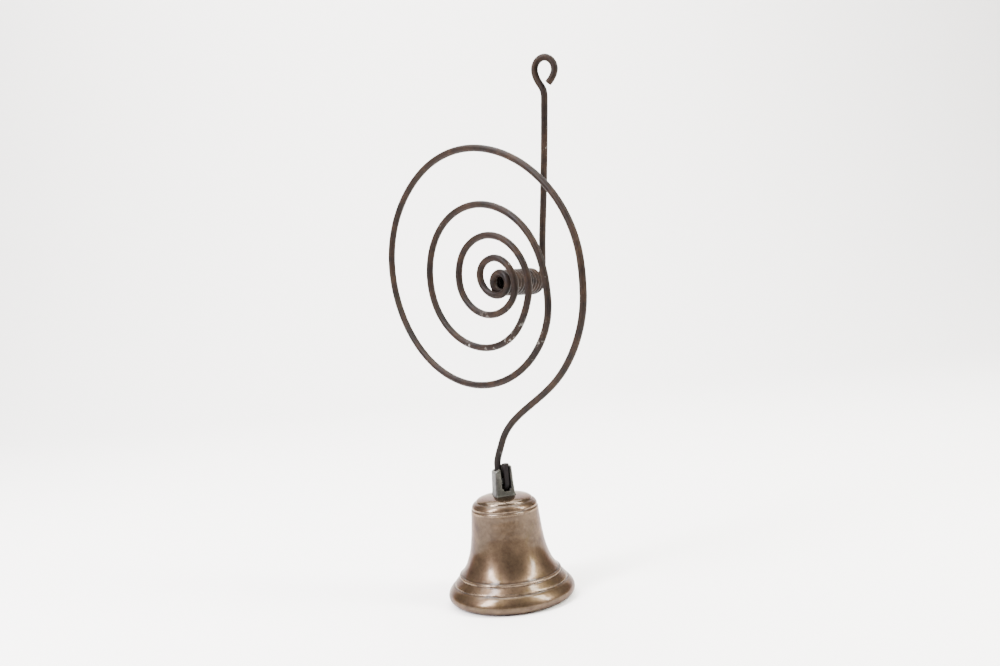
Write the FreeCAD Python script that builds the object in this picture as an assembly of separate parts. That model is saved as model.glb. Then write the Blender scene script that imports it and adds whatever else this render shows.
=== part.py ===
# Servants' call bell: a cast bell on one length of round iron wire, which makes a pull eye,
# a straight pull arm, a close-wound horizontal barrel coil, a flat four-turn spiral and an
# S-shaped neck, and ends doubled back in a forked lug on the bell's crown.
#
# Millimetres. +Z is up, the origin is the centre of the bell's mouth, on the plane that the
# mouth stands on. +Y runs along the barrel coil's axis, from its front ring to its rear.
import FreeCAD, Part
import math
import os

V = FreeCAD.Vector
os.makedirs("parts", exist_ok=True)

# ---------------------------------------------------------------- driving dimensions
WIRE_D = 4.12            # round iron wire
MOUTH_R = 37.9           # widest radius of the bell's lip
BELL_H = 62.6            # mouth plane to the top of the crown
LUG_BASE = 11.8          # square foot of the lug on the crown
LUG_TOP = 10.4           # square top of the lug
LUG_H_LEFT = 77.0        # height of the left cheek above the mouth plane
LUG_H = 79.6             # height of the rest of the lug
LUG_SHIFT = 0.25          # the lug stands this far to the right of the bell's axis
LUG_AZ = 38.6            # degrees that the lug's window is turned to the right of -Y
POCKET_L = -4.2         # pocket in the lug that holds the doubled wire: its left side,
POCKET_R = 3.85          # its right side,
POCKET_B = -2.9          # its back
POCKET_F = 1.3           # and its front, right and front of the lug's middle
POCKET_Z = 64.2          # floor of the pocket
WINDOW_L = -1.9          # left side of the window in the lug's front
LEG_A = (-2.1, -0.8)     # leg that comes down from the neck: right, front
LEG_B = (1.75, 2.9)      # doubled end that comes back up: right, front
BEND_Z = 69.2            # height of the doubled end's bend centre
TAIL_TOP = 81.3          # cut end of the doubled wire

BARREL_X = 16.9          # axis of the barrel coil, at the front
BARREL_Z = 188.2
BARREL_DX = 0.5          # how far the axis runs to the right
BARREL_DZ = -1.5         # and falls on its way to the rear
COIL_R0 = 5.5            # wire centreline radius at the front
COIL_R1 = 6.15           # and at the rear
COIL_Y0 = -11.0          # centreline at the start of the close-wound turns
COIL_Y1 = 31.9           # centreline at the end of the last turn
COIL_TURNS = 10.25

SPIRAL_YAW = 17.9        # degrees between the spiral's plane and the XZ plane
SPIRAL_C = (16.9, -16.2, 188.5)

STAPLE_D = 2.4           # clapper staple wire
PIVOT_Z = 51.3           # clapper pivot height
ROD_D = 2.6              # clapper rod
BOB_R = 7.0              # clapper ball
BOB_Z = 11.6

R = WIRE_D / 2.0

# outside of the bell, from the lip to the crown: (radius, height)
OUTER = [(32.6, 0.0), (35.3, 1.1), (37.1, 2.6), (37.9, 4.5), (37.5, 6.4), (36.6, 8.0),
         (35.3, 9.6), (34.1, 10.7), (33.5, 11.4), (33.15, 12.3), (32.2, 13.4), (31.0, 14.7),
         (30.35, 15.5), (30.2, 16.3), (29.7, 17.1), (28.6, 17.9), (27.4, 19.4), (25.9, 21.9),
         (24.6, 25.0), (23.0, 30.0), (21.85, 36.0), (21.1, 42.0), (20.55, 48.0), (20.15, 52.5),
         (19.95, 54.6), (19.5, 55.5), (19.35, 56.2), (18.9, 57.4), (17.9, 58.6), (17.0, 59.3),
         (16.5, 60.0), (15.0, 61.0), (12.4, 61.9), (8.8, 62.4), (0.0, BELL_H)]
# inside, from the mouth to the crown
INNER = [(29.6, 0.0), (29.3, 3.0), (28.6, 6.5), (27.6, 10.0), (25.9, 13.4), (23.9, 17.0),
         (22.0, 21.0), (20.4, 26.0), (19.1, 32.0), (18.1, 39.0), (17.3, 46.0), (16.7, 51.0),
         (15.4, 54.6), (12.4, 57.0), (8.0, 58.2), (0.0, 58.5)]

# centreline of the neck: from the lug up to the spiral's start
NECK = [(0.3, -1.3, 87.6), (5.3, -3.0, 98.0), (21.6, -9.7, 113.3),
        (37.3, -16.2, 123.6), (51.3, -23.0, 134.6), (65.6, -30.1, 153.9), (72.5, -33.7, 173.5)]

# the spiral in its own plane: (across, up) from its centre, outermost turn first
SPIRAL = [(59.7, -2.0), (58.6, 15.2), (49.2, 39.2), (31.0, 59.6), (6.3, 73.4), (-19.9, 78.1),
          (-44.6, 73.7), (-66.1, 60.6), (-81.3, 41.2), (-88.2, 18.1), (-86.1, -6.8),
          (-74.9, -30.7), (-57.2, -48.0), (-35.0, -57.5), (-11.4, -58.2), (10.4, -50.1),
          (26.3, -35.4), (34.1, -17.9), (34.7, -5.6), (33.3, 6.1), (26.4, 23.7), (11.6, 38.2),
          (-7.0, 45.1), (-26.0, 43.9), (-41.5, 35.6), (-52.1, 21.0), (-55.5, 3.3),
          (-51.2, -14.3), (-40.1, -27.9), (-23.5, -35.9), (-6.1, -36.1), (8.0, -29.3),
          (17.9, -16.2), (21.9, -2.4), (18.6, 11.4), (8.6, 22.7), (-3.7, 27.3), (-16.5, 25.6),
          (-26.0, 18.8), (-30.8, 8.2), (-30.3, -2.7), (-23.9, -12.2), (-13.4, -17.5),
          (-2.2, -17.2), (6.9, -12.2), (11.6, -4.5), (10.9, 3.6), (6.1, 10.8), (-1.0, 14.2),
          (-7.6, 13.4), (-12.4, 9.9), (-14.2, 5.0), (-12.8, -0.6), (-7.8, -5.5), (-1.7, -7.1),
          (4.0, -5.3)]

# the arm, from the last turn of the barrel to the foot of the eye
ARM = [(24.2, 32.5, 192.5), (26.1, 31.2, 206.0), (30.2, 27.3, 228.0), (34.2, 23.6, 249.5),
       (38.1, 19.9, 272.0), (41.1, 16.8, 290.5)]
# the eye: one bent loop in a plane across Y
EYE_Y = 16.0
EYE = [(41.35, 296.3), (40.3, 299.0), (38.6, 302.0), (37.35, 305.3), (36.95, 308.8),
       (37.95, 312.1), (40.5, 314.5), (43.8, 315.1), (47.0, 313.5), (49.0, 310.3),
       (49.2, 306.9), (47.8, 303.7), (46.2, 301.7), (44.75, 300.3)]


# ---------------------------------------------------------------- wire tools
def eye_point(p):
    return V(p[0], EYE_Y, p[1])


def spiral_point(p):
    c, s = math.cos(math.radians(SPIRAL_YAW)), math.sin(math.radians(SPIRAL_YAW))
    return V(SPIRAL_C[0] + p[0] * c, SPIRAL_C[1] - p[0] * s, SPIRAL_C[2] + p[1])


def smooth(points, per_span=2):
    """Points and unit tangents along a smooth curve through the given points."""
    curve = Part.BSplineCurve()
    curve.interpolate(points)
    knots = curve.getKnots()
    out = []
    for a, b in zip(knots[:-1], knots[1:]):
        for i in range(per_span):
            u = a + (b - a) * i / per_span
            t = V(curve.tangent(u)[0])
            t.normalize()
            out.append((curve.value(u), t))
    t = V(curve.tangent(knots[-1])[0])
    t.normalize()
    out.append((curve.value(knots[-1]), t))
    return out


def arc_edge(p, t, q):
    """The arc that leaves p along t and ends at q, or a straight edge."""
    v = q - p
    n = t.cross(v)
    if n.Length < 1e-4 * v.Length:
        return Part.LineSegment(p, q).toShape()
    n.normalize()
    side = n.cross(t)
    r = v.Length ** 2 / (2.0 * v.dot(side))
    centre = p + side * r
    a = centre - (p + q) * 0.5
    if a.Length < 1e-7:
        a = V(t) * -1.0
    a.normalize()
    mid = centre - a * abs(r) if v.dot(t) >= 0 else centre + a * abs(r)
    return Part.Arc(p, mid, q).toShape()


def biarc(p1, t1, p2, t2):
    v = p2 - p1
    t = t1 + t2
    k = 2.0 * (1.0 - t1.dot(t2))
    vt = v.dot(t)
    if k < 1e-9:
        d = v.dot(v) / (4.0 * v.dot(t2))
    else:
        d = (-vt + math.sqrt(vt * vt + k * v.dot(v))) / k
    m = (p1 + t1 * d + p2 - t2 * d) * 0.5
    dm = (p2 - t2 * d) - (p1 + t1 * d)
    dm.normalize()
    return [arc_edge(p1, t1, m), arc_edge(m, dm, p2)]


def tube(samples, name, radius=R):
    """A solid of round wire along (point, tangent) samples, as tangent arcs."""
    edges = []
    for (p1, t1), (p2, t2) in zip(samples[:-1], samples[1:]):
        edges += biarc(p1, t1, p2, t2)
    length = sum(e.Length for e in edges)
    path = Part.Wire(edges)
    p0, t0 = samples[0]
    profile = Part.Wire([Part.Circle(p0, t0, radius).toShape()])
    solid = path.makePipeShell([profile], True, False)
    want = math.pi * radius ** 2 * length
    if solid.Volume < 0:
        solid.reverse()
    print("%-22s length %8.2f  volume/section*length %.4f  valid %s"
          % (name, length, solid.Volume / want, solid.isValid()))
    return solid


def save(shape, name):
    shape.exportStep("parts/%s.step" % name)


# ---------------------------------------------------------------- centreline
def coil_point(a):
    """Close-wound turns. a = degrees turned since the front ring's foot (bottom)."""
    f = a / (360.0 * COIL_TURNS)
    th = math.radians(270.0 + a)
    r = COIL_R0 + (COIL_R1 - COIL_R0) * f
    return V(BARREL_X + BARREL_DX * f + r * math.cos(th), COIL_Y0 + (COIL_Y1 - COIL_Y0) * f,
             BARREL_Z + BARREL_DZ * f + r * math.sin(th))


def coil_samples(a0, a1, step=45.0):
    n = max(1, int(round((a1 - a0) / step)))
    out = []
    for i in range(n + 1):
        a = a0 + (a1 - a0) * i / n
        t = coil_point(a + 0.05) - coil_point(a - 0.05)
        t.normalize()
        out.append((coil_point(a), t))
    return out


def ring_point(th):
    """Front ring, cocked into the spiral's plane: th from -40 to 270 degrees."""
    k = (th + 50.0) / 320.0
    w = 1.0 - min(1.0, max(0.0, (th - 40.0) / 230.0)) ** 1.6
    r = 6.45 + (COIL_R0 - 6.45) * min(1.0, k * 1.6)
    x = r * math.cos(math.radians(th))
    rise = (COIL_Y0 - SPIRAL_C[1]) * (k ** 1.7)
    y = SPIRAL_C[1] - w * math.tan(math.radians(SPIRAL_YAW)) * x + rise
    zc = SPIRAL_C[2] + (BARREL_Z - SPIRAL_C[2]) * k
    return V(BARREL_X + x, y, zc + r * math.sin(math.radians(th)))


spiral_pts = [spiral_point(p) for p in SPIRAL]
ring_pts = [ring_point(a) for a in (-12, 22, 56, 90, 124, 158, 192, 228)]
lead = [coil_point(a) for a in (0, 40, 80)]
az = math.radians(LUG_AZ)
FRONT = V(math.sin(az), -math.cos(az), 0)      # out of the lug's window
RIGHT = V(math.cos(az), math.sin(az), 0)       # to the right, seen from the window


def lug_point(right, front, z):
    return RIGHT * (right + LUG_SHIFT) + FRONT * front + V(0, 0, z)


neck_pts = [lug_point(LEG_A[0], LEG_A[1], 80.0)] + [V(*p) for p in NECK]
body_pts = neck_pts + spiral_pts + ring_pts + lead
samples = smooth(body_pts)
NN, NS, NR = len(neck_pts), len(SPIRAL), len(ring_pts)


def cut(i, j):
    """Samples from control point i to control point j."""
    return samples[2 * i:2 * j + 1]


# the spiral's breaks, counted in its own points
B_NECK = 0               # the neck ends at the spiral's first point
B_1 = 18                 # end of the outer turn, on the right
B_2 = 26                 # end of the outer flexing half turn, on the left
B_3 = 40                 # end of the middle turn, on the left
B_4 = 46                 # end of the inner flexing half turn, on the right

# start of the neck leaves the leg straight upwards
neck = cut(0, NN + B_NECK)
neck[0] = (neck[0][0], V(0, 0, 1))

parts = {}
parts["wire_neck"] = tube(neck, "wire_neck")
parts["spiral_outer_turn"] = tube(cut(NN + B_NECK, NN + B_1), "spiral_outer_turn")
parts["spiral_outer_flex"] = tube(cut(NN + B_1, NN + B_2), "spiral_outer_flex")
parts["spiral_middle_turn"] = tube(cut(NN + B_2, NN + B_3), "spiral_middle_turn")
parts["spiral_inner_flex"] = tube(cut(NN + B_3, NN + B_4), "spiral_inner_flex")
inner = cut(NN + B_4, NN + NS + NR)
start = coil_samples(0, 45)[0]
inner[-1] = start
parts["spiral_inner_turn"] = tube(inner, "spiral_inner_turn")

END_TURN = 360.0
total = 360.0 * COIL_TURNS
parts["barrel_coil"] = tube(coil_samples(0, total - END_TURN), "barrel_coil")
parts["barrel_end_turn"] = tube(coil_samples(total - END_TURN, total), "barrel_end_turn")

foot = coil_samples(total - 45, total)[-1]
arm_pts = [foot[0]] + [V(*p) for p in ARM] + [eye_point(p) for p in EYE]
arm_samples = smooth(arm_pts)
arm_samples[0] = (foot[0], foot[1])
NA = len(ARM)
parts["pull_arm"] = tube(arm_samples[:2 * NA + 1], "pull_arm")
parts["pull_eye"] = tube(arm_samples[2 * NA:], "pull_eye")

# ---------------------------------------------------------------- doubled end in the lug
leg_top = samples[0][0]
bend_a = lug_point(LEG_A[0], LEG_A[1], BEND_Z)
bend_b = lug_point(LEG_B[0], LEG_B[1], BEND_Z)
bend_m = (bend_a + bend_b) * 0.5 - V(0, 0, (bend_b - bend_a).Length / 2)
edges = [Part.LineSegment(leg_top, bend_a).toShape(),
         Part.Arc(bend_a, bend_m, bend_b).toShape(),
         Part.LineSegment(bend_b, lug_point(LEG_B[0], LEG_B[1], TAIL_TOP)).toShape()]
tail = Part.Wire(edges).makePipeShell(
    [Part.Wire([Part.Circle(leg_top, V(0, 0, 1), R).toShape()])], True, False)
if tail.Volume < 0:
    tail.reverse()
parts["wire_tail"] = tail
print("wire_tail valid", tail.isValid(), tail.Volume)


# ---------------------------------------------------------------- bell casting
def revolve(outer, inner):
    def run(pts):
        return [Part.LineSegment(V(a[0], 0, a[1]), V(b[0], 0, b[1])).toShape()
                for a, b in zip(pts[:-1], pts[1:])]

    def curve(pts):
        c = Part.BSplineCurve()
        c.interpolate([V(a, 0, b) for a, b in pts])
        return c.toShape()
    o, i = outer, inner
    edges = [curve(o[:-1])] + run([o[-2], o[-1]])
    edges += run([o[-1], i[-1]])
    edges += [curve(list(reversed(i)))] + run([i[0], o[0]])
    face = Part.Face(Part.Wire(edges))
    return face.revolve(V(0, 0, 0), V(0, 0, 1), 360)


def frustum(base, top, z0, z1):
    def square(w, z):
        h = w / 2.0
        c = [lug_point(-h, h, z), lug_point(h, h, z), lug_point(h, -h, z), lug_point(-h, -h, z)]
        return Part.makePolygon(c + [c[0]])
    return Part.makeLoft([square(base, z0), square(top, z1)], True, True)


def box(r0, r1, f0, f1, z0, z1):
    pts = [lug_point(r0, f0, z0), lug_point(r1, f0, z0), lug_point(r1, f1, z0),
           lug_point(r0, f1, z0)]
    face = Part.Face(Part.makePolygon(pts + [pts[0]]))
    return face.extrude(V(0, 0, z1 - z0))


shell = revolve(OUTER, INNER)
lug = frustum(LUG_BASE, LUG_TOP, 61.2, LUG_H)
foot_flare = frustum(13.4, 11.7, 61.4, 63.9)
pocket = box(POCKET_L, POCKET_R, POCKET_B, POCKET_F, POCKET_Z, 90)
window = box(WINDOW_L, POCKET_R, 0, 12, POCKET_Z, 90)
left_step = box(-12, WINDOW_L, -12, 12, LUG_H_LEFT, 90)
lug = lug.fuse(foot_flare).cut(pocket).cut(window).cut(left_step)
tapered_top = [e for e in lug.Edges
               if min(v.Z for v in e.Vertexes) > LUG_H - 0.01
               and abs(e.Vertexes[0].Point.dot(RIGHT) - e.Vertexes[-1].Point.dot(RIGHT)) < 0.05
               and e.Vertexes[0].Point.dot(RIGHT) > LUG_TOP / 2 + LUG_SHIFT - 0.1]
if tapered_top:
    lug = lug.makeFillet(0.6, tapered_top)
casting = shell.fuse(lug).removeSplitter()

# clapper staple: a loop of iron wire cast into the crown, in the YZ plane
SR = 3.2
zt = PIVOT_Z + SR
st_edges = [Part.LineSegment(V(0, -SR, 60.2), V(0, -SR, zt)).toShape(),
            Part.Arc(V(0, -SR, zt), V(0, 0, zt - SR), V(0, SR, zt)).toShape(),
            Part.LineSegment(V(0, SR, zt), V(0, SR, 60.2)).toShape()]
staple = Part.Wire(st_edges).makePipeShell(
    [Part.Wire([Part.Circle(V(0, -SR, 60.2), V(0, 0, 1), STAPLE_D / 2).toShape()])], True, False)
if staple.Volume < 0:
    staple.reverse()
parts["clapper_staple"] = staple
casting = casting.cut(staple)

# solder that fills the lower pocket round the doubled wire
fill = box(POCKET_L, POCKET_R, POCKET_B, POCKET_F, POCKET_Z, 71.4)
fill = fill.cut(tail)
fill = max(fill.Solids, key=lambda s: s.Volume)
parts["lug_solder"] = fill
casting = casting.cut(tail)
casting = max(casting.Solids, key=lambda s: s.Volume)
parts["bell_casting"] = casting
print("casting valid", casting.isValid(), "volume cm3 %.1f" % (casting.Volume / 1000),
      "solids", len(casting.Solids))

# ---------------------------------------------------------------- clapper
ER = 3.0                                        # eye ring, wire centreline
er_z = PIVOT_Z - (ER - ROD_D / 2 - STAPLE_D / 2 - 0.1)
ring = Part.makeTorus(ER, ROD_D / 2, V(0, 0, er_z), V(0, 1, 0))
rod = Part.makeCylinder(ROD_D / 2, er_z - ER - (BOB_Z - BOB_R) + 0.4,
                        V(0, 0, BOB_Z - BOB_R - 0.4))
rod = rod.fuse(ring).removeSplitter()
parts["clapper_rod"] = rod.Solids[0]
ball = Part.makeSphere(BOB_R, V(0, 0, BOB_Z))
ball = ball.cut(Part.makeCylinder(ROD_D / 2, 40, V(0, 0, BOB_Z - 20)))
parts["clapper_ball"] = ball.Solids[0]

for name in sorted(parts):
    save(parts[name], name)
    b = parts[name].BoundBox
    print("%-20s x %.1f..%.1f y %.1f..%.1f z %.1f..%.1f vol %.0f valid %s" % (
        name, b.XMin, b.XMax, b.YMin, b.YMax, b.ZMin, b.ZMax,
        parts[name].Volume, parts[name].isValid()))
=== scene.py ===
import bpy
import bmesh
import math
import numpy as np
from mathutils import Matrix, Vector, noise


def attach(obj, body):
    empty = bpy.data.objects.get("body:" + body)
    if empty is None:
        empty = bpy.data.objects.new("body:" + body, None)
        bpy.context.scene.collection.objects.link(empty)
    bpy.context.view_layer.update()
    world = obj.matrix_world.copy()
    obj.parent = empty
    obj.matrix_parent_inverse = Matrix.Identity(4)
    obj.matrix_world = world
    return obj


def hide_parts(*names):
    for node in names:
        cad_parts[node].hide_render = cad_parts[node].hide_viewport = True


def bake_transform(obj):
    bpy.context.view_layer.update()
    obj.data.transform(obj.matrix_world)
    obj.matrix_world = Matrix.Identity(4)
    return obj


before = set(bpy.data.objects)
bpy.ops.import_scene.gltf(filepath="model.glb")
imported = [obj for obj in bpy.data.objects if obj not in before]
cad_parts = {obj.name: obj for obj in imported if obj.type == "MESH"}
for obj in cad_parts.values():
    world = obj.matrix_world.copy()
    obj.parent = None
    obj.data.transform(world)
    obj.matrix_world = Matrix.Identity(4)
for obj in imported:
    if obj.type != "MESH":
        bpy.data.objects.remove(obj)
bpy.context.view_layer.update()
scene = bpy.context.scene

MM = 0.001
WIRE_R = 2.06

# ------------------------------------------------------------------ the wire's route, in mm
LUG_AZ = math.radians(38.6)
LUG_SHIFT = 0.25
FRONT = np.array([math.sin(LUG_AZ), -math.cos(LUG_AZ), 0.0])
RIGHT = np.array([math.cos(LUG_AZ), math.sin(LUG_AZ), 0.0])
UPZ = np.array([0.0, 0.0, 1.0])


def lug_point(right, front, z):
    return RIGHT * (right + LUG_SHIFT) + FRONT * front + UPZ * z


LEG_A = (-2.1, -0.8)
LEG_B = (1.75, 2.9)
BEND_Z = 69.2
TAIL_TOP = 81.3

NECK = [(0.3, -1.3, 87.6), (5.3, -3.0, 98.0), (21.6, -9.7, 113.3),
        (37.3, -16.2, 123.6), (51.3, -23.0, 134.6), (65.6, -30.1, 153.9), (72.5, -33.7, 173.5)]

SPIRAL = [(59.7, -2.0), (58.6, 15.2), (49.2, 39.2), (31.0, 59.6), (6.3, 73.4), (-19.9, 78.1),
          (-44.6, 73.7), (-66.1, 60.6), (-81.3, 41.2), (-88.2, 18.1), (-86.1, -6.8),
          (-74.9, -30.7), (-57.2, -48.0), (-35.0, -57.5), (-11.4, -58.2), (10.4, -50.1),
          (26.3, -35.4), (34.1, -17.9), (34.7, -5.6), (33.3, 6.1), (26.4, 23.7), (11.6, 38.2),
          (-7.0, 45.1), (-26.0, 43.9), (-41.5, 35.6), (-52.1, 21.0), (-55.5, 3.3),
          (-51.2, -14.3), (-40.1, -27.9), (-23.5, -35.9), (-6.1, -36.1), (8.0, -29.3),
          (17.9, -16.2), (21.9, -2.4), (18.6, 11.4), (8.6, 22.7), (-3.7, 27.3), (-16.5, 25.6),
          (-26.0, 18.8), (-30.8, 8.2), (-30.3, -2.7), (-23.9, -12.2), (-13.4, -17.5),
          (-2.2, -17.2), (6.9, -12.2), (11.6, -4.5), (10.9, 3.6), (6.1, 10.8), (-1.0, 14.2),
          (-7.6, 13.4), (-12.4, 9.9), (-14.2, 5.0), (-12.8, -0.6), (-7.8, -5.5), (-1.7, -7.1),
          (4.0, -5.3)]
SPIRAL_YAW = math.radians(17.9)
SPIRAL_C = np.array([16.9, -16.2, 188.5])
EU = np.array([math.cos(SPIRAL_YAW), -math.sin(SPIRAL_YAW), 0.0])
NORMAL = np.array([math.sin(SPIRAL_YAW), math.cos(SPIRAL_YAW), 0.0])

ARM = [(24.2, 32.5, 192.5), (26.1, 31.2, 206.0), (30.2, 27.3, 228.0), (34.2, 23.6, 249.5),
       (38.1, 19.9, 272.0), (41.1, 16.8, 290.5)]
EYE_Y = 16.0
EYE = [(41.35, 296.3), (40.3, 299.0), (38.6, 302.0), (37.35, 305.3), (36.95, 308.8),
       (37.95, 312.1), (40.5, 314.5), (43.8, 315.1), (47.0, 313.5), (49.0, 310.3),
       (49.2, 306.9), (47.8, 303.7), (46.2, 301.7), (44.75, 300.3)]

BARREL_X, BARREL_Z, BARREL_DX, BARREL_DZ = 16.9, 188.2, 0.5, -1.5
COIL_R0, COIL_R1, COIL_Y0, COIL_Y1, COIL_TURNS = 5.5, 6.15, -11.0, 31.9, 10.25
COIL_TOTAL = 360.0 * COIL_TURNS
END_TURN = 360.0


def coil_point(a):
    f = a / COIL_TOTAL
    th = math.radians(270.0 + a)
    r = COIL_R0 + (COIL_R1 - COIL_R0) * f
    return np.array([BARREL_X + BARREL_DX * f + r * math.cos(th),
                     COIL_Y0 + (COIL_Y1 - COIL_Y0) * f,
                     BARREL_Z + BARREL_DZ * f + r * math.sin(th)])


def ring_point(th):
    k = (th + 50.0) / 320.0
    w = 1.0 - min(1.0, max(0.0, (th - 40.0) / 230.0)) ** 1.6
    r = 6.45 + (COIL_R0 - 6.45) * min(1.0, k * 1.6)
    x = r * math.cos(math.radians(th))
    rise = (COIL_Y0 - SPIRAL_C[1]) * (k ** 1.7)
    y = SPIRAL_C[1] - w * math.tan(SPIRAL_YAW) * x + rise
    zc = SPIRAL_C[2] + (BARREL_Z - SPIRAL_C[2]) * k
    return np.array([BARREL_X + x, y, zc + r * math.sin(math.radians(th))])


def spiral_point(p):
    return SPIRAL_C + EU * p[0] + UPZ * p[1]


class Spline:
    """Cubic through points, with chord-length parameters and optional end slopes."""

    def __init__(self, pts, start=None, end=None):
        self.p = np.array(pts, float)
        n = len(self.p)
        h = np.linalg.norm(np.diff(self.p, axis=0), axis=1)
        self.t = np.r_[0.0, np.cumsum(h)]
        a = np.zeros((n, n))
        b = np.zeros((n, 3))
        for i in range(1, n - 1):
            a[i, i - 1] = h[i]
            a[i, i] = 2 * (h[i - 1] + h[i])
            a[i, i + 1] = h[i - 1]
            b[i] = 3 * (h[i] / h[i - 1] * (self.p[i] - self.p[i - 1])
                        + h[i - 1] / h[i] * (self.p[i + 1] - self.p[i]))
        if start is None:
            a[0, 0], a[0, 1] = 2, 1
            b[0] = 3 * (self.p[1] - self.p[0]) / h[0]
        else:
            a[0, 0] = 1
            b[0] = np.array(start) / np.linalg.norm(start)
        if end is None:
            a[-1, -1], a[-1, -2] = 2, 1
            b[-1] = 3 * (self.p[-1] - self.p[-2]) / h[-1]
        else:
            a[-1, -1] = 1
            b[-1] = np.array(end) / np.linalg.norm(end)
        self.m = np.linalg.solve(a, b)

    def at(self, u):
        u = np.atleast_1d(u)
        i = np.clip(np.searchsorted(self.t, u, side="right") - 1, 0, len(self.t) - 2)
        h = self.t[i + 1] - self.t[i]
        s = ((u - self.t[i]) / h)[:, None]
        h = h[:, None]
        h00, h10 = 2 * s**3 - 3 * s**2 + 1, s**3 - 2 * s**2 + s
        h01, h11 = -2 * s**3 + 3 * s**2, s**3 - s**2
        return (h00 * self.p[i] + h10 * h * self.m[i] + h01 * self.p[i + 1]
                + h11 * h * self.m[i + 1])

    def run(self, i, j, step=0.7):
        """Points from control point i to control point j, about a step apart."""
        n = max(4, int(round((self.t[j] - self.t[i]) / step)))
        return self.at(np.linspace(self.t[i], self.t[j], n + 1))


neck_pts = [lug_point(LEG_A[0], LEG_A[1], 80.0)] + [np.array(p) for p in NECK]
ring_pts = [ring_point(a) for a in (-12, 22, 56, 90, 124, 158, 192, 228)]
lead = [coil_point(a) for a in (0, 40, 80)]
body_line = Spline(neck_pts + [spiral_point(p) for p in SPIRAL] + ring_pts + lead,
                   start=(0, 0, 1))
NN, NS, NR = len(neck_pts), len(SPIRAL), len(ring_pts)
B_1, B_2, B_3, B_4 = 18, 26, 40, 46


def coil_run(a0, a1, step=6.0):
    n = int(round((a1 - a0) / step))
    return np.array([coil_point(a0 + (a1 - a0) * i / n) for i in range(n + 1)])


coil_end = coil_point(COIL_TOTAL)
coil_dir = coil_point(COIL_TOTAL) - coil_point(COIL_TOTAL - 0.1)
arm_line = Spline([coil_end] + [np.array(p) for p in ARM]
                  + [np.array([p[0], EYE_Y, p[1]]) for p in EYE], start=coil_dir)

# the doubled end: up the tail's leg backwards, round the bend, up the neck's leg
bend_a = lug_point(LEG_A[0], LEG_A[1], BEND_Z)
bend_b = lug_point(LEG_B[0], LEG_B[1], BEND_Z)
half = (bend_b - bend_a) / 2
mid = (bend_a + bend_b) / 2
rb = np.linalg.norm(half)
tail_run = [lug_point(LEG_B[0], LEG_B[1], z) for z in np.linspace(TAIL_TOP - 0.3, BEND_Z, 18)]
tail_run += [mid + half * math.cos(t) - UPZ * rb * math.sin(t)
             for t in np.linspace(0, math.pi, 17)[1:-1]]
tail_run += [lug_point(LEG_A[0], LEG_A[1], z) for z in np.linspace(BEND_Z, 80.0, 16)[:-1]]


# ------------------------------------------------------------------ mesh tools
def fbm(p, scale, octaves=3, seed=0.0):
    v = Vector((p[0] * scale + seed, p[1] * scale - seed * 0.7, p[2] * scale + seed * 1.3))
    return noise.fractal(v, 1.0, 2.0, octaves)


def make_object(name, verts, faces, smooth=True, sharp=()):
    mesh = bpy.data.meshes.new(name)
    mesh.from_pydata([tuple(v) for v in verts], [], faces)
    mesh.update()
    if smooth:
        mesh.polygons.foreach_set("use_smooth", [True] * len(mesh.polygons))
    if sharp:
        keys = {tuple(sorted(e)) for e in sharp}
        for e in mesh.edges:
            if tuple(sorted(e.vertices)) in keys:
                e.use_edge_sharp = True
    obj = bpy.data.objects.new(name, mesh)
    scene.collection.objects.link(obj)
    return obj


def outward(obj):
    bm = bmesh.new()
    bm.from_mesh(obj.data)
    bmesh.ops.recalc_face_normals(bm, faces=bm.faces)
    bm.to_mesh(obj.data)
    bm.free()
    return obj


def frames(points, start=None):
    t = np.gradient(points, axis=0)
    t /= np.linalg.norm(t, axis=1)[:, None]
    if start is None:
        ref = np.array([0.0, 1.0, 0.0])
        if abs(t[0] @ ref) > 0.9:
            ref = np.array([1.0, 0.0, 0.0])
        start = ref
    n = start - t[0] * (start @ t[0])
    n /= np.linalg.norm(n)
    ns = [n]
    for i in range(1, len(points)):
        n = ns[-1] - t[i] * (ns[-1] @ t[i])
        n /= np.linalg.norm(n)
        ns.append(n)
    ns = np.array(ns)
    return t, ns, np.cross(t, ns)


# the whole wire is one swept surface; each piece is a stretch of it
SEG = 28
route = []
stations = {}


def add(name, pts, keep_first):
    pts = np.array(pts)
    a = len(route) - (0 if keep_first else 1)
    route.extend([p for p in (pts if keep_first else pts[1:])])
    stations[name] = (a, len(route) - 1)


add("wire_doubled_end", tail_run + [neck_pts[0]], True)
add("wire_neck_run", body_line.run(0, NN), False)
add("spiral_outer", body_line.run(NN, NN + B_1), False)
add("spiral_outer_bend", body_line.run(NN + B_1, NN + B_2), False)
add("spiral_middle", body_line.run(NN + B_2, NN + B_3), False)
add("spiral_inner_bend", body_line.run(NN + B_3, NN + B_4), False)
add("spiral_inner", body_line.run(NN + B_4, NN + NS + NR), False)
add("barrel_turns", coil_run(0, COIL_TOTAL - END_TURN), False)
add("barrel_last_turn", coil_run(COIL_TOTAL - END_TURN, COIL_TOTAL), False)
add("arm_and_eye", arm_line.run(0, len(ARM) + len(EYE)), False)
route = np.array(route)
TT, TN, TB = frames(route, RIGHT)
arc = np.r_[0.0, np.cumsum(np.linalg.norm(np.diff(route, axis=0), axis=1))]


def wire_ring(i, grow=1.0, slide=0.0):
    out = []
    c = route[i] + TT[i] * slide
    for k in range(SEG):
        a = 2 * math.pi * k / SEG
        d = TN[i] * math.cos(a) + TB[i] * math.sin(a)
        p = c + d * WIRE_R
        # scale, pits and hand-drawn unevenness, a few hundredths of a millimetre
        h = 0.045 * fbm(p, 0.35, 2, 3.1) + 0.03 * fbm(p, 1.3, 3, 7.7) - 0.02
        r = WIRE_R * grow + min(h, 0.0) - 0.004
        out.append((c + d * r) * MM)
    return out


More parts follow.
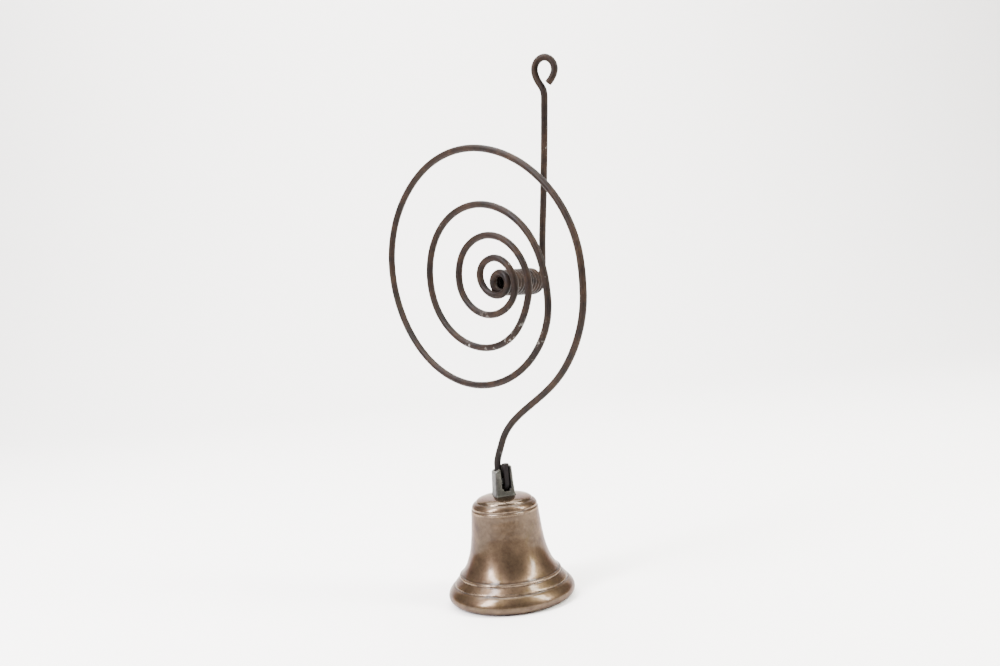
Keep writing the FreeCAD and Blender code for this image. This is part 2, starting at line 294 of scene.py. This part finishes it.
def wire_piece(name, first, last, cap_start=False, cap_end=False):
    verts, faces, sharp = [], [], []
    rows = []
    if cap_start:
        rows.append(wire_ring(first, 0.80, -0.22))
        rows.append(wire_ring(first, 0.95, -0.08))
    rows += [wire_ring(i) for i in range(first, last + 1)]
    if cap_end:
        rows.append(wire_ring(last, 0.95, 0.08))
        rows.append(wire_ring(last, 0.80, 0.22))
    for r in rows:
        verts.extend(r)
    n = len(rows)
    for i in range(n - 1):
        for k in range(SEG):
            k2 = (k + 1) % SEG
            faces.append((i * SEG + k, i * SEG + k2, (i + 1) * SEG + k2, (i + 1) * SEG + k))
    for row, end in ((0, 0), (n - 1, 1)):
        ids = [row * SEG + k for k in range(SEG)]
        centre = len(verts)
        verts.append(sum((Vector(verts[j]) for j in ids), Vector()) / SEG)
        for k in range(SEG):
            a, b = ids[k], ids[(k + 1) % SEG]
            faces.append((centre, b, a) if end == 0 else (centre, a, b))
            sharp.append((a, b))
    return make_object(name, verts, faces, True, sharp)


def span(name):
    return stations[name]


pieces = {}
a0 = span("wire_doubled_end")[0]
a1 = span("spiral_outer")[1]
pieces["wire_neck_and_outer_turn"] = wire_piece("wire_neck_and_outer_turn", a0, a1,
                                                cap_start=True)
for n in ("spiral_outer_bend", "spiral_middle", "spiral_inner_bend"):
    pieces[n] = wire_piece(n, *span(n))
pieces["spiral_centre"] = wire_piece("spiral_centre", *span("spiral_inner"))
pieces["barrel_turns"] = wire_piece("barrel_turns", span("barrel_turns")[0],
                                    span("barrel_last_turn")[1])
pieces["arm_and_eye"] = wire_piece("arm_and_eye", *span("arm_and_eye"), cap_end=True)

ride = {"wire_neck_and_outer_turn": "bell", "spiral_middle": "spiral",
        "spiral_centre": "barrel", "arm_and_eye": "arm"}
swap = {"wire_neck_and_outer_turn": ["wire_tail", "wire_neck", "spiral_outer_turn"],
        "spiral_outer_bend": ["spiral_outer_flex"], "spiral_middle": ["spiral_middle_turn"],
        "spiral_inner_bend": ["spiral_inner_flex"],
        "spiral_centre": ["spiral_inner_turn"],
        "barrel_turns": ["barrel_coil", "barrel_end_turn"],
        "arm_and_eye": ["pull_arm", "pull_eye"]}


# ------------------------------------------------------------------ bell
OUTER = [(32.6, 0.0), (35.0, 0.7), (36.5, 1.7), (37.5, 3.1), (37.88, 4.5), (37.7, 5.8),
         (37.15, 7.15), (36.2, 8.55), (35.3, 9.6), (34.6, 10.2)]
# groove above the lip, then the double bead on the sound bow
OUTER += [(34.2, 10.45), (33.9, 10.6), (33.75, 10.85), (33.75, 11.15), (33.6, 11.5),
          (33.15, 12.1), (32.4, 12.95), (31.6, 13.8), (30.95, 14.5), (30.6, 14.85),
          (30.45, 15.1), (30.5, 15.4), (30.62, 15.75), (30.55, 16.15), (30.25, 16.5),
          (29.85, 16.7), (29.55, 16.85), (29.35, 17.1), (29.0, 17.5), (28.2, 18.35),
          (27.4, 19.4)]
OUTER += [(25.9, 21.9), (24.6, 25.0), (23.7, 27.6), (23.0, 30.0), (22.3, 33.2), (21.85, 36.0),
          (21.4, 39.2), (21.1, 42.0), (20.8, 45.2), (20.55, 48.0), (20.3, 50.9), (20.18, 52.9)]
OUTER += [(20.1, 54.0), (20.05, 54.45), (19.85, 54.75), (19.6, 54.95), (19.5, 55.25),
          (19.55, 55.6), (19.62, 56.0), (19.5, 56.6), (19.15, 57.4), (18.6, 58.1),
          (18.0, 58.65), (17.5, 58.95), (17.2, 59.05), (17.0, 59.2), (16.9, 59.45),
          (16.75, 59.8), (16.2, 60.35), (15.2, 60.9), (13.6, 61.45), (11.0, 61.95),
          (8.0, 62.3), (4.0, 62.5), (0.0, 62.6)]
INNER = [(29.6, 0.0), (29.3, 3.0), (28.6, 6.5), (27.6, 10.0), (25.9, 13.4), (23.9, 17.0),
         (22.0, 21.0), (20.4, 26.0), (19.1, 32.0), (18.1, 39.0), (17.3, 46.0), (16.7, 51.0),
         (15.4, 54.6), (12.4, 57.0), (8.0, 58.2), (3.0, 58.48), (0.0, 58.5)]


def dense(profile, step):
    s = Spline([(a, 0, b) for a, b in profile])
    n = int(s.t[-1] / step)
    # keep every profile point and fill between
    u = sorted(set(list(np.linspace(0, s.t[-1], n)) + list(s.t)))
    q = s.at(np.array(u))
    return [(max(0.0, a), b) for a, _, b in q]


def lathe(name, profile, seg, dent=None):
    verts, faces = [], []
    n = len(profile)
    ring_of = []
    for r, z in profile:
        if r < 1e-4:
            ring_of.append([len(verts)])
            verts.append(Vector((0, 0, z * MM)))
            continue
        ids = []
        for k in range(seg):
            a = 2 * math.pi * k / seg
            p = Vector((r * math.cos(a), r * math.sin(a), z))
            if dent:
                p = dent(p, r, z, a)
            ids.append(len(verts))
            verts.append(p * MM)
        ring_of.append(ids)
    for i in range(n - 1):
        A, B = ring_of[i], ring_of[i + 1]
        if len(A) == 1 and len(B) == 1:
            continue
        for k in range(seg):
            k2 = (k + 1) % seg
            if len(A) == 1:
                faces.append((A[0], B[k2], B[k]))
            elif len(B) == 1:
                faces.append((A[k], A[k2], B[0]))
            else:
                faces.append((A[k], A[k2], B[k2], B[k]))
    return outward(make_object(name, verts, faces))


def bell_dent(p, r, z, a):
    # an old hand-finished casting: faint waves and a few knocks on the lip and beads
    d = 0.05 * fbm(p, 0.08, 2, 1.0) + 0.02 * fbm(p, 0.4, 2, 5.0)
    q = Vector((p.x, p.y, 0)).normalized() if r > 0.5 else Vector((0, 0, 0))
    return p - q * max(0.0, d + 0.02)


outer = dense(OUTER, 0.45)
inner = dense(INNER, 0.9)
profile = outer[::-1] + [(31.8, 0.0), (31.0, 0.0), (30.3, 0.0)] + inner
pieces["bell_shell"] = lathe("bell_shell", profile, 288, bell_dent)


# ------------------------------------------------------------------ lug
def apply_modifiers(obj):
    bpy.context.view_layer.update()
    dg = bpy.context.evaluated_depsgraph_get()
    mesh = bpy.data.meshes.new_from_object(obj.evaluated_get(dg))
    obj.modifiers.clear()
    old = obj.data
    obj.data = mesh
    bpy.data.meshes.remove(old)


def lug_block(name, levels, corner=0.22, n=40):
    """A squared post: (height, half width, corner softness) levels, closed top and bottom."""
    verts, faces = [], []
    for z, h, soft in levels:
        for k in range(n):
            a = 2 * math.pi * (k + 0.5) / n
            c, s = math.cos(a), math.sin(a)
            e = 2.0 / soft
            x = h * math.copysign(abs(c) ** e, c)
            y = h * math.copysign(abs(s) ** e, s)
            verts.append(Vector(lug_point(x, y, z)) * MM)
    m = len(levels)
    for i in range(m - 1):
        for k in range(n):
            k2 = (k + 1) % n
            faces.append((i * n + k, i * n + k2, (i + 1) * n + k2, (i + 1) * n + k))
    faces.append(tuple(reversed(range(n))))
    faces.append(tuple(range((m - 1) * n, m * n)))
    return make_object(name, verts, faces, False)


def cutter(name, r0, r1, f0, f1, z0, z1, drop=0.0):
    """A box to cut with; drop lowers its floor's left side."""
    v = [Vector(lug_point(r, f, z - (drop if (z == z0 and r == r0) else 0.0))) * MM
         for z in (z0, z1) for r, f in ((r0, f0), (r1, f0), (r1, f1), (r0, f1))]
    f = [(3, 2, 1, 0), (4, 5, 6, 7), (0, 1, 5, 4), (1, 2, 6, 5), (2, 3, 7, 6), (3, 0, 4, 7)]
    return outward(make_object(name, v, f, False))


levels = [(60.4, 6.9, 7), (61.6, 6.85, 7), (62.3, 6.6, 7), (63.0, 6.2, 8), (64.0, 5.93, 9),
          (66.0, 5.8, 10), (70.0, 5.6, 10), (75.0, 5.38, 10), (78.2, 5.25, 9), (79.6, 5.18, 9)]
lug = lug_block("lug_casting", levels, n=96)
cuts = [cutter("cut_a", -4.2, 3.85, -2.9, 1.3, 64.2, 95),
        cutter("cut_b", -1.9, 3.85, 0.0, 14, 66.2, 95),
        cutter("cut_d", -0.9, 2.85, 0.0, 14, 64.7, 70),
        cutter("cut_c", -5.4, -1.9, -14, 14, 78.2, 95, 1.9),
        cutter("cut_e", -14, -5.3, -14, 14, 76.4, 95)]
for c in cuts:
    m = lug.modifiers.new(c.name, "BOOLEAN")
    m.operation = "DIFFERENCE"
    m.object = c
    m.solver = "EXACT"
apply_modifiers(lug)
for c in cuts:
    bpy.data.objects.remove(c)
rm = lug.modifiers.new("remesh", "REMESH")
rm.mode = "VOXEL"
rm.voxel_size = 0.00018
rm.use_smooth_shade = True
sm = lug.modifiers.new("smooth", "SMOOTH")
sm.factor = 0.6
sm.iterations = 5
apply_modifiers(lug)
places = [v.co.copy() for v in lug.data.vertices]
normals = [v.normal.copy() for v in lug.data.vertices]
for i, (co, nm) in enumerate(zip(places, normals)):
    p = co / MM
    d = 0.10 * fbm(p, 0.30, 2, 11.0) + 0.05 * fbm(p, 1.1, 3, 2.0)
    places[i] = co - nm * (max(0.0, d + 0.03) * MM)
lug.data.vertices.foreach_set("co", [c for p in places for c in p])
lug.data.update()
pieces["lug_casting"] = lug

# ------------------------------------------------------------------ clapper and staple
PIVOT_Z = 51.3


def plain_tube(name, pts, radius, seg=20, cap=0.85):
    pts = np.array(pts)
    t, n, b = frames(pts)
    verts, faces, sharp = [], [], []
    rows = [(0, cap, -0.12)] + [(i, 1.0, 0.0) for i in range(len(pts))] + [(len(pts) - 1, cap, 0.12)]
    for i, g, s in rows:
        for k in range(seg):
            a = 2 * math.pi * k / seg
            d = n[i] * math.cos(a) + b[i] * math.sin(a)
            p = pts[i] + t[i] * s * radius
            q = p + d * radius
            r = radius * g - max(0.0, 0.03 * fbm(q, 0.8, 2, 4.0) + 0.01)
            verts.append(Vector(p + d * r) * MM)
    m = len(rows)
    for i in range(m - 1):
        for k in range(seg):
            k2 = (k + 1) % seg
            faces.append((i * seg + k, i * seg + k2, (i + 1) * seg + k2, (i + 1) * seg + k))
    for row, end in ((0, 0), (m - 1, 1)):
        ids = [row * seg + k for k in range(seg)]
        c = len(verts)
        verts.append(sum((Vector(verts[j]) for j in ids), Vector()) / seg)
        for k in range(seg):
            a, b2 = ids[k], ids[(k + 1) % seg]
            faces.append((c, b2, a) if end == 0 else (c, a, b2))
            sharp.append((a, b2))
    return make_object(name, verts, faces, True, sharp)


SR = 3.2
zt = PIVOT_Z + SR
staple = [(0, -SR, z) for z in np.linspace(58.9, zt, 7)[:-1]]
staple += [(0, -SR * math.cos(t), zt - SR * math.sin(t)) for t in np.linspace(0, math.pi, 25)]
staple += [(0, SR, z) for z in np.linspace(zt, 58.9, 7)[1:]]
pieces["clapper_loop"] = plain_tube("clapper_loop", staple, 1.2)

ER, ROD_R, BOB_R, BOB_Z = 3.0, 1.3, 7.0, 11.6
er_z = PIVOT_Z - (ER - ROD_R - 1.2 - 0.1)
loop = [(ER * math.sin(t), 0, er_z - ER * math.cos(t)) for t in np.linspace(0.42, 2 * math.pi - 0.05, 44)]
rod = [(0, 0, z) for z in np.linspace(BOB_Z + BOB_R * 0.4, er_z - ER - 1.4, 26)]
rod += [(0.12, 0, er_z - ER - 0.5)]
rod_line = Spline([rod[0], (0, 0, 30), (0, 0, er_z - ER - 3.0), (0.35, 0, er_z - ER - 1.2),
                   (1.35, 0, er_z - ER + 0.33)] + loop[4::4] + [loop[-1]])
pieces["clapper_stem"] = plain_tube("clapper_stem", rod_line.at(np.linspace(0, rod_line.t[-1], 110)),
                                    ROD_R)
ball_profile = [(0.0, 4.2), (1.1, 4.25), (1.3, 4.55), (1.35, 4.72)]
for t in np.linspace(0.22, math.pi - 0.26, 40):
    rr = BOB_R * math.sin(t)
    zz = BOB_Z - BOB_R * math.cos(t)
    groove = 0.18 * math.exp(-((zz - BOB_Z) / 0.5) ** 2)
    ball_profile.append((rr - groove, zz))
ball_profile += [(1.9, 18.7), (1.6, 19.2), (1.35, 19.3), (0.0, 19.3)]


def ball_dent(p, r, z, a):
    d = 0.10 * fbm(p, 0.35, 3, 9.0)
    q = Vector((p.x, p.y, 0)).normalized()
    return p - q * max(0.0, d)


pieces["clapper_bob"] = lathe("clapper_bob", ball_profile[::-1], 72, ball_dent)

ride.update({"bell_shell": "bell", "lug_casting": "bell", "clapper_loop": "bell",
             "clapper_stem": "clapper", "clapper_bob": "clapper"})
swap.update({"bell_shell": ["bell_casting"], "lug_casting": ["bell_casting"],
             "clapper_loop": ["clapper_staple"], "clapper_stem": ["clapper_rod"],
             "clapper_bob": ["clapper_ball"]})


# ------------------------------------------------------------------ materials
class Nodes:
    def __init__(self, name, gain=1.0):
        self.gain = gain
        self.mat = bpy.data.materials.new(name)
        self.mat.use_nodes = True
        self.t = self.mat.node_tree
        self.t.nodes.clear()
        self.out = self.t.nodes.new("ShaderNodeOutputMaterial")
        self.bsdf = self.t.nodes.new("ShaderNodeBsdfPrincipled")
        self.t.links.new(self.bsdf.outputs[0], self.out.inputs[0])
        self.coord = self.t.nodes.new("ShaderNodeTexCoord")

    def link(self, a, b):
        self.t.links.new(a, b)

    def node(self, kind, **inputs):
        n = self.t.nodes.new(kind)
        for k, v in inputs.items():
            if k in n.inputs:
                if hasattr(v, "is_output"):
                    self.link(v, n.inputs[k])
                else:
                    n.inputs[k].default_value = v
        return n

    def mapped(self, scale=(1, 1, 1), loc=(0, 0, 0)):
        m = self.t.nodes.new("ShaderNodeMapping")
        m.inputs["Scale"].default_value = scale
        m.inputs["Location"].default_value = loc
        self.link(self.coord.outputs["Object"], m.inputs["Vector"])
        return m.outputs[0]

    def noise(self, scale, detail=6.0, rough=0.6, distort=0.0, vec=None):
        n = self.t.nodes.new("ShaderNodeTexNoise")
        n.inputs["Scale"].default_value = scale
        n.inputs["Detail"].default_value = detail
        n.inputs["Roughness"].default_value = rough
        n.inputs["Distortion"].default_value = distort
        self.link(vec or self.coord.outputs["Object"], n.inputs["Vector"])
        return n.outputs["Fac"]

    def ramp(self, fac, stops, interp="LINEAR"):
        r = self.t.nodes.new("ShaderNodeValToRGB")
        r.color_ramp.interpolation = interp
        e = r.color_ramp.elements
        while len(e) > 1:
            e.remove(e[-1])
        stops = [(p, tuple(v * self.gain for v in c)) for p, c in stops]
        e[0].position, e[0].color = stops[0][0], (*stops[0][1], 1)
        for p, c in stops[1:]:
            x = e.new(p)
            x.color = (*c, 1)
        self.link(fac, r.inputs[0])
        return r.outputs[0]

    def mix(self, fac, a, b, mode="MIX"):
        m = self.t.nodes.new("ShaderNodeMix")
        m.data_type = "RGBA"
        m.blend_type = mode
        for k, v in ((0, fac), (6, a), (7, b)):
            if hasattr(v, "is_output"):
                self.link(v, m.inputs[k])
            else:
                m.inputs[k].default_value = v if k == 0 else (*[c * self.gain for c in v], 1)
        return m.outputs[2]

    def math(self, op, a, b=0.0, clamp=False):
        m = self.t.nodes.new("ShaderNodeMath")
        m.operation = op
        m.use_clamp = clamp
        for k, v in ((0, a), (1, b)):
            if hasattr(v, "is_output"):
                self.link(v, m.inputs[k])
            else:
                m.inputs[k].default_value = v
        return m.outputs[0]

    def range(self, v, a, b, c=0.0, d=1.0):
        m = self.t.nodes.new("ShaderNodeMapRange")
        m.inputs["From Min"].default_value = a
        m.inputs["From Max"].default_value = b
        m.inputs["To Min"].default_value = c
        m.inputs["To Max"].default_value = d
        self.link(v, m.inputs["Value"])
        return m.outputs[0]

    def xyz(self):
        s = self.t.nodes.new("ShaderNodeSeparateXYZ")
        self.link(self.coord.outputs["Object"], s.inputs[0])
        return s.outputs

    def bump(self, height, strength, distance, prev=None):
        b = self.t.nodes.new("ShaderNodeBump")
        b.inputs["Strength"].default_value = strength
        b.inputs["Distance"].default_value = distance
        self.link(height, b.inputs["Height"])
        if prev is not None:
            self.link(prev, b.inputs["Normal"])
        return b.outputs[0]

    def set(self, **kw):
        names = {"base": "Base Color", "rough": "Roughness", "metal": "Metallic",
                 "normal": "Normal", "spec": "Specular IOR Level"}
        for k, v in kw.items():
            s = self.bsdf.inputs[names[k]]
            if hasattr(v, "is_output"):
                self.link(v, s)
            elif isinstance(v, tuple):
                s.default_value = (*v, 1)
            else:
                s.default_value = v
        return self.mat


def iron_material():
    """Old drawn iron: brown rust film over near-black scale, rubbed lighter in patches."""
    m = Nodes("rusty_iron_wire", 0.25)
    big = m.noise(24.0, 3, 0.55, 0.6)
    mid = m.noise(95.0, 5, 0.65, 0.4)
    fine = m.noise(650.0, 6, 0.7)
    grit = m.noise(1700.0, 4, 0.6)
    base = m.ramp(big, [(0.34, (0.020, 0.017, 0.018)), (0.44, (0.040, 0.026, 0.022)),
                        (0.52, (0.056, 0.031, 0.022)), (0.60, (0.040, 0.022, 0.022)),
                        (0.70, (0.040, 0.034, 0.022))])
    rust = m.ramp(mid, [(0.36, (0.016, 0.012, 0.012)), (0.50, (0.052, 0.030, 0.020)),
                        (0.64, (0.098, 0.052, 0.028))])
    base = m.mix(0.62, base, rust)
    # pits hold dark scale, high spots are rubbed to a greyer metal
    base = m.mix(m.math("MULTIPLY", m.range(fine, 0.54, 0.66), 0.65), base, (0.008, 0.007, 0.007))
    rub = m.math("MULTIPLY", m.range(mid, 0.55, 0.68), m.range(fine, 0.50, 0.40))
    base = m.mix(m.math("MULTIPLY", rub, 0.35), base, (0.150, 0.125, 0.105))
    # stray flecks of old whitewash, thickest low on the right of the turns
    s = m.xyz()
    low = m.math("MULTIPLY", m.range(s[2], 0.176, 0.160), m.range(s[2], 0.138, 0.146))
    side = m.math("MULTIPLY", m.range(s[0], -0.012, 0.008), m.range(s[0], 0.050, 0.040))
    where = m.math("MULTIPLY", low, side)
    fleck = m.range(m.noise(330.0, 3, 0.5, 0.5), 0.60, 0.66)
    rare = m.range(m.noise(290.0, 2, 0.5), 0.735, 0.76)
    fleck = m.math("MAXIMUM", m.math("MULTIPLY", fleck, where), rare)
    base = m.mix(m.math("MULTIPLY", fleck, 0.8), base, (0.52, 0.49, 0.45))
    # darkest where the neck comes out of the lug
    base = m.mix(m.range(s[2], 0.118, 0.084, 0.0, 0.75), base, (0.013, 0.012, 0.014))
    rough = m.range(mid, 0.32, 0.68, 0.42, 0.62)
    rough = m.math("ADD", rough, m.math("MULTIPLY", fleck, 0.3))
    n = m.bump(fine, 0.35, 0.00012)
    n = m.bump(mid, 0.5, 0.00045, n)
    n = m.bump(grit, 0.2, 0.00005, n)
    return m.set(base=base, rough=rough, metal=0.0, spec=0.08, normal=n)


def bronze_material():
    """Handled bell metal: brown patina, pinkish where thin, brighter on the mouldings."""
    m = Nodes("worn_bronze", 0.26)
    s = m.xyz()
    x, y, z = s[0], s[1], s[2]
    big = m.noise(30.0, 5, 0.6, 0.5)
    mid = m.noise(130.0, 6, 0.65, 0.3)
    fine = m.noise(620.0, 6, 0.7)
    grit = m.noise(2200.0, 3, 0.6)
    base = m.ramp(big, [(0.34, (0.128, 0.082, 0.048)), (0.44, (0.212, 0.138, 0.086)),
                        (0.53, (0.266, 0.172, 0.108)), (0.61, (0.215, 0.142, 0.062)),
                        (0.70, (0.150, 0.105, 0.046))])
    spots = m.ramp(mid, [(0.37, (0.070, 0.036, 0.020)), (0.47, (0.178, 0.114, 0.068)),
                         (0.55, (0.254, 0.168, 0.100)), (0.66, (0.410, 0.265, 0.165))])
    base = m.mix(0.5, base, spots)
    base = m.mix(m.math("MULTIPLY", m.range(fine, 0.54, 0.70), 0.40), base,
                 (0.095, 0.055, 0.034))
    # fine turning lines left by the lathe, in height only
    lines = m.t.nodes.new("ShaderNodeTexNoise")
    lines.noise_dimensions = "1D"
    lines.inputs["Scale"].default_value = 3200.0
    lines.inputs["Detail"].default_value = 2.0
    m.link(z, lines.inputs["W"])
    turned = lines.outputs["Fac"]
    # grooves hold dark grime; the beads and the lip are rubbed bright
    dark = None
    for z0, w in ((0.01098, 0.00042), (0.01505, 0.0003), (0.01700, 0.00035), (0.05512, 0.0003),
                  (0.05915, 0.0002)):
        g = m.range(m.math("ABSOLUTE", m.math("SUBTRACT", z, z0)), w * 2.2, w * 0.4)
        dark = g if dark is None else m.math("MAXIMUM", dark, g)
    base = m.mix(m.math("MULTIPLY", dark, 0.75), base, (0.045, 0.026, 0.016))
    bright = None
    for z0, w in ((0.01575, 0.0005), (0.01155, 0.0004), (0.0562, 0.0007), (0.0540, 0.0006),
                  (0.0597, 0.0004)):
        g = m.range(m.math("ABSOLUTE", m.math("SUBTRACT", z, z0)), w * 2.0, w * 0.5)
        bright = g if bright is None else m.math("MAXIMUM", bright, g)
    wear = m.math("MULTIPLY", bright, m.range(mid, 0.38, 0.55))
    base = m.mix(m.math("MULTIPLY", wear, 0.6), base, (0.62, 0.44, 0.30))
    # grey-green bloom round the foot of the lug, and painted shade darkening the rim under the lip
    dx = m.math("SUBTRACT", x, 0.0002)
    rr = m.math("SQRT", m.math("ADD", m.math("MULTIPLY", dx, dx), m.math("MULTIPLY", y, y)))
    crown = m.math("MULTIPLY", m.range(rr, 0.0135, 0.0085), m.range(z, 0.0600, 0.0610))
    crown = m.math("MULTIPLY", crown, m.range(mid, 0.30, 0.55, 0.55, 1.0))
    base = m.mix(m.math("MULTIPLY", crown, 0.8), base, (0.105, 0.095, 0.062))
    top = m.range(z, 0.0575, 0.0605)
    base = m.mix(m.math("MULTIPLY", top, 0.35), base, (0.190, 0.150, 0.100))
    # painted shade: the lowest few millimetres of the lip are darkened where the contact shadow falls
    painted_lip_shade = m.range(z, 0.0030, 0.0005)
    base = m.mix(m.math("MULTIPLY", painted_lip_shade, 0.6), base, (0.060, 0.036, 0.024))
    rough = m.range(mid, 0.32, 0.68, 0.43, 0.29)
    rough = m.math("SUBTRACT", rough, m.math("MULTIPLY", wear, 0.12))
    rough = m.math("SUBTRACT", rough, m.math("MULTIPLY", top, 0.12))
    rough = m.math("ADD", rough, m.math("MULTIPLY", dark, 0.25))
    n = m.bump(fine, 0.10, 0.00008)
    n = m.bump(m.noise(210.0, 4, 0.6), 0.16, 0.00022, n)
    n = m.bump(turned, 0.05, 0.00003, n)
    n = m.bump(grit, 0.08, 0.00003, n)
    # a thin old lacquer gives the small whitish highlights over the softer metal ones
    m.bsdf.inputs["Coat Weight"].default_value = 0.32
    m.bsdf.inputs["Specular Tint"].default_value = (0.47, 0.36, 0.27, 1)
    m.bsdf.inputs["Coat Roughness"].default_value = 0.14
    m.bsdf.inputs["Coat IOR"].default_value = 1.45
    return m.set(base=base, rough=rough, metal=0.85, normal=n)


def lug_material():
    """Grey cast lug with a green bloom, painted lighter on its left-facing side, with painted top light and
    wear on its upward faces.
    """
    m = Nodes("cast_lug_patina_and_painted_light", 0.21)
    s = m.xyz()
    mid = m.noise(170.0, 6, 0.65, 0.4)
    fine = m.noise(1100.0, 5, 0.7)
    base = m.ramp(mid, [(0.32, (0.045, 0.043, 0.034)), (0.48, (0.110, 0.104, 0.084)),
                        (0.66, (0.205, 0.192, 0.165))])
    green = m.range(m.noise(230.0, 4, 0.6), 0.47, 0.62)
    base = m.mix(m.math("MULTIPLY", green, 0.5), base, (0.068, 0.082, 0.058))
    # painted light by which way the surface faces: lighter on the left-facing side, and painted top light
    # mixed with wear on the upward faces of the cheeks
    geo = m.t.nodes.new("ShaderNodeNewGeometry")
    nn = m.t.nodes.new("ShaderNodeSeparateXYZ")
    m.link(geo.outputs["Normal"], nn.inputs[0])
    # painted light: the left-facing side, toward the key light, is made paler
    painted_left_light = m.range(m.math("ADD", m.math("MULTIPLY", nn.outputs[0], -0.78),
                              m.math("MULTIPLY", nn.outputs[1], -0.62)), 0.55, 0.9)
    base = m.mix(m.math("MULTIPLY", painted_left_light, 0.55), base, (0.150, 0.140, 0.143))
    # partly rubbed wear, partly painted top light: upward faces made lighter, broken up by fine noise
    top_light_and_wear = m.math("MULTIPLY", m.range(nn.outputs[2], 0.55, 0.9), m.range(fine, 0.40, 0.55))
    base = m.mix(m.math("MULTIPLY", top_light_and_wear, 0.6), base, (0.470, 0.440, 0.360))
    n = m.bump(fine, 0.25, 0.00010)
    n = m.bump(mid, 0.5, 0.00040, n)
    return m.set(base=base, rough=m.range(mid, 0.3, 0.7, 0.60, 0.42), metal=0.4, spec=0.3, normal=n)


def forged_material():
    m = Nodes("forged_clapper_iron", 0.6)
    mid = m.noise(200.0, 6, 0.65, 0.3)
    fine = m.noise(1100.0, 5, 0.7)
    base = m.ramp(mid, [(0.34, (0.035, 0.028, 0.025)), (0.52, (0.085, 0.058, 0.045)),
                        (0.70, (0.140, 0.090, 0.062))])
    n = m.bump(fine, 0.4, 0.00015)
    n = m.bump(mid, 0.5, 0.00040, n)
    return m.set(base=base, rough=m.range(mid, 0.3, 0.7, 0.75, 0.5), metal=0.4, normal=n)


def solder_material():
    m = Nodes("dull_solder", 0.5)
    mid = m.noise(400.0, 5, 0.6)
    base = m.ramp(mid, [(0.35, (0.12, 0.12, 0.11)), (0.65, (0.26, 0.26, 0.25))])
    return m.set(base=base, rough=m.range(mid, 0.3, 0.7, 0.55, 0.38), metal=0.7,
                 normal=m.bump(mid, 0.4, 0.0003))


IRON, BRONZE, LUG, FORGED, SOLDER = (iron_material(), bronze_material(), lug_material(),
                                     forged_material(), solder_material())
looks = {"bell_shell": (BRONZE, "bell_bronze"), "lug_casting": (LUG, "bell_bronze"),
         "clapper_loop": (FORGED, "clapper_iron"), "clapper_stem": (FORGED, "clapper_iron"),
         "clapper_bob": (FORGED, "clapper_iron")}
for name, obj in pieces.items():
    mat, slot = looks.get(name, (IRON, "iron_wire"))
    obj.data.materials.clear()
    obj.data.materials.append(mat)
    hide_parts(*swap[name])
    if name in ride:
        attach(obj, ride[name])


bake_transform(pieces["spiral_outer_bend"])
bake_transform(pieces["spiral_inner_bend"])
# the barrel's axis direction is computed; the turns are baked into world space
ax = np.array([BARREL_DX, COIL_Y1 - COIL_Y0, BARREL_DZ])
ax /= np.linalg.norm(ax)
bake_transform(pieces["barrel_turns"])

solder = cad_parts["lug_solder"]
solder.data.materials.clear()
solder.data.materials.append(SOLDER)

# ------------------------------------------------------------------ floor, light, camera
def sweep():
    verts, faces = [], []
    prof = [(-0.5, 0.0), (0.9, 0.0)]
    prof += [(0.9 + 0.6 * math.sin(t), 0.6 - 0.6 * math.cos(t)) for t in np.linspace(0.05, math.pi / 2, 24)]
    prof += [(1.5, 1.5)]
    for y, z in prof:
        for x in (-1.5, 1.5):
            verts.append(Vector((x, y, z)))
    n = len(prof)
    for i in range(n - 1):
        faces.append((2 * i, 2 * i + 1, 2 * i + 3, 2 * i + 2))
    o = make_object("studio_sweep", verts, faces)
    o.rotation_euler = (0, 0, math.radians(24.6))
    return o


floor = sweep()
fm = bpy.data.materials.new("studio_paper")
fm.use_nodes = True
fb = fm.node_tree.nodes["Principled BSDF"]
fb.inputs["Base Color"].default_value = (0.90, 0.885, 0.865, 1)
fb.inputs["Roughness"].default_value = 0.85
fb.inputs["Specular IOR Level"].default_value = 0.15
floor.data.materials.append(fm)

CAM = Vector((0.261799, -0.555857, 0.201634))
CR = Vector((0.908152, 0.408826, -0.090114))
CU = Vector((0.053101, 0.101024, 0.993466))
CF = Vector((-0.415259, 0.907003, -0.070036))
cam_data = bpy.data.cameras.new("camera")
cam_data.sensor_width = 36.0
cam_data.lens = 37.584
cam_data.clip_start = 0.01
cam = bpy.data.objects.new("camera", cam_data)
scene.collection.objects.link(cam)
back = -CF
cam.matrix_world = Matrix(((CR.x, CU.x, back.x, CAM.x), (CR.y, CU.y, back.y, CAM.y),
                           (CR.z, CU.z, back.z, CAM.z), (0, 0, 0, 1)))
scene.camera = cam


def area(name, where, target, size, power, color=(1, 1, 1), size_y=None):
    d = bpy.data.lights.new(name, "AREA")
    d.shape = "RECTANGLE"
    d.size = size
    d.size_y = size_y or size
    d.energy = power
    d.color = color
    o = bpy.data.objects.new(name, d)
    scene.collection.objects.link(o)
    o.location = where
    v = Vector(target) - Vector(where)
    o.rotation_euler = v.to_track_quat("-Z", "Y").to_euler()
    return o


def from_camera(right, up, forward):
    """A place given from the bell's middle along the camera's level axes, in metres."""
    f = Vector((CF.x, CF.y, 0)).normalized()
    r = Vector((f.y, -f.x, 0))
    return Vector((0, 0, 0.03)) + r * right + f * forward + Vector((0, 0, up))


area("key_left", from_camera(-0.85, 0.95, -0.60), (0, 0, 0.05), 0.27, 82, (1.0, 0.965, 1.0), 1.1)
area("fill_right", from_camera(0.95, 0.80, -0.40), (0, 0, 0.05), 0.20, 54, (1.0, 0.985, 0.91), 1.1)
area("top", from_camera(0.0, 1.6, 0.45), (0, 0, 0.0), 1.5, 66)
area("backdrop_wash", from_camera(-0.25, 1.3, 0.35), from_camera(-0.25, 0.25, 1.4), 1.2, 44)
world = bpy.data.worlds.new("studio_air")
scene.world = world
world.use_nodes = True
world.node_tree.nodes["Background"].inputs[0].default_value = (1.0, 0.99, 0.98, 1)
world.node_tree.nodes["Background"].inputs[1].default_value = 0.36
